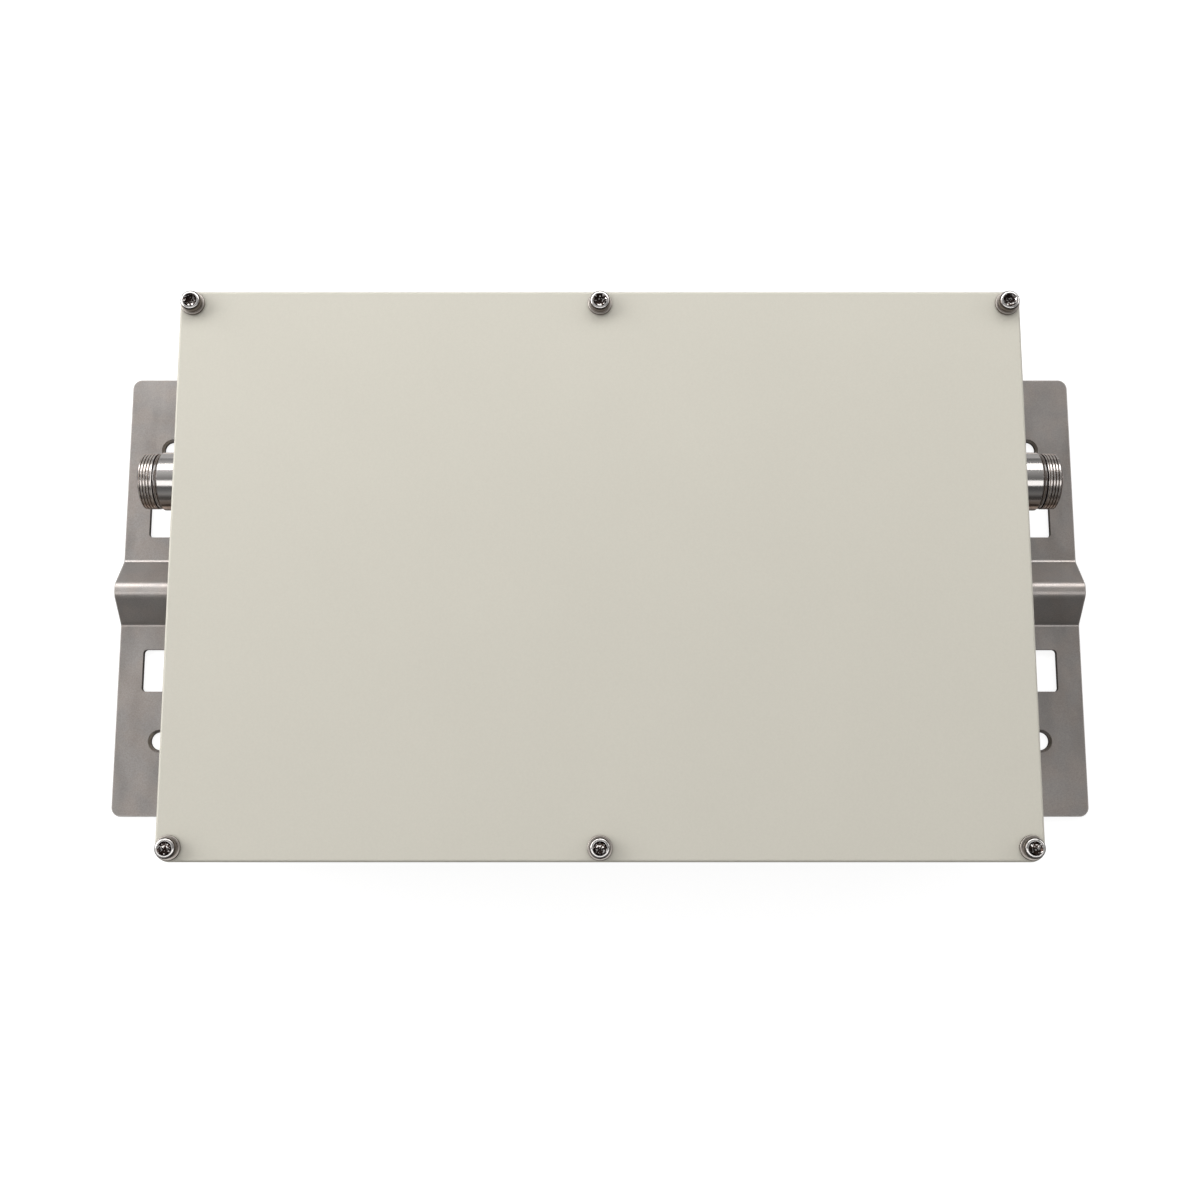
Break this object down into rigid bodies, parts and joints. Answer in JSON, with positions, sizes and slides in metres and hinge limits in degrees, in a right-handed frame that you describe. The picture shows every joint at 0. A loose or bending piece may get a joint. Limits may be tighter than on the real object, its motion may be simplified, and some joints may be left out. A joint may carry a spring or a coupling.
{
  "type": "rf bandpass filter",
  "caption": "Flat outdoor cavity bandpass filter with a coaxial port at each end, screwed cover and hat-section pole brackets.",
  "frame": {"origin": "middle of the plane of the brackets' back faces, under the middle of the cover", "axes": "+X from the left port to the right port, +Y up the cover as the picture shows it, +Z out of the cover"},
  "size_m": [0.5206, 0.281, 0.0902],
  "materials": {
    "cream_paint": "smooth matt powder coat, warm cream grey",
    "cast_paint": "matt powder coat over a casting, warm cream grey",
    "plain_aluminium": "milled",
    "stainless_sheet": "fine bead-blasted stainless sheet",
    "stainless_screw": "bright stainless fastener",
    "nickel_plate": "bright plated turned brass",
    "silver_plate": "satin silver plate",
    "brass": "turned",
    "white_polymer": "turned fluoropolymer",
    "dark_rubber": "moulded seal"
  },
  "bodies": {
    "root": {"front_cover": "cream_paint", "housing": "cast_paint", "cavity_lid": "plain_aluminium", "cover_gasket": "dark_rubber", "resonator_1": "silver_plate", "resonator_2": "silver_plate", "resonator_3": "silver_plate", "resonator_4": "silver_plate", "resonator_5": "silver_plate", "resonator_6": "silver_plate", "resonator_7": "silver_plate", "resonator_8": "silver_plate", "tuning_screw_1": "brass", "tuning_screw_2": "brass", "tuning_screw_3": "brass", "tuning_screw_4": "brass", "tuning_screw_5": "brass", "tuning_screw_6": "brass", "tuning_screw_7": "brass", "tuning_screw_8": "brass", "lid_screw_1": "stainless_screw", "lid_screw_2": "stainless_screw", "lid_screw_3": "stainless_screw", "lid_screw_4": "stainless_screw", "lid_screw_5": "stainless_screw", "lid_screw_6": "stainless_screw", "lid_screw_7": "stainless_screw", "lid_screw_8": "stainless_screw", "lid_screw_9": "stainless_screw", "cover_screw_1": "stainless_screw", "cover_screw_2": "stainless_screw", "cover_screw_3": "stainless_screw", "cover_screw_4": "stainless_screw", "cover_screw_5": "stainless_screw", "cover_screw_6": "stainless_screw", "cover_washer_1": "stainless_screw", "cover_washer_2": "stainless_screw", "cover_washer_3": "stainless_screw", "cover_washer_4": "stainless_screw", "cover_washer_5": "stainless_screw", "cover_washer_6": "stainless_screw", "connector_body_left": "nickel_plate", "connector_body_right": "nickel_plate", "insulator_left": "white_polymer", "insulator_right": "white_polymer", "centre_contact_left": "silver_plate", "centre_contact_right": "silver_plate", "port_ring_left": "dark_rubber", "port_ring_right": "dark_rubber", "bracket_left": "stainless_sheet", "bracket_right": "stainless_sheet", "bracket_screw_left_1": "stainless_screw", "bracket_screw_left_2": "stainless_screw", "bracket_screw_left_3": "stainless_screw", "bracket_screw_left_4": "stainless_screw", "bracket_screw_right_1": "stainless_screw", "bracket_screw_right_2": "stainless_screw", "bracket_screw_right_3": "stainless_screw", "bracket_screw_right_4": "stainless_screw"}
  },
  "joints": []
}
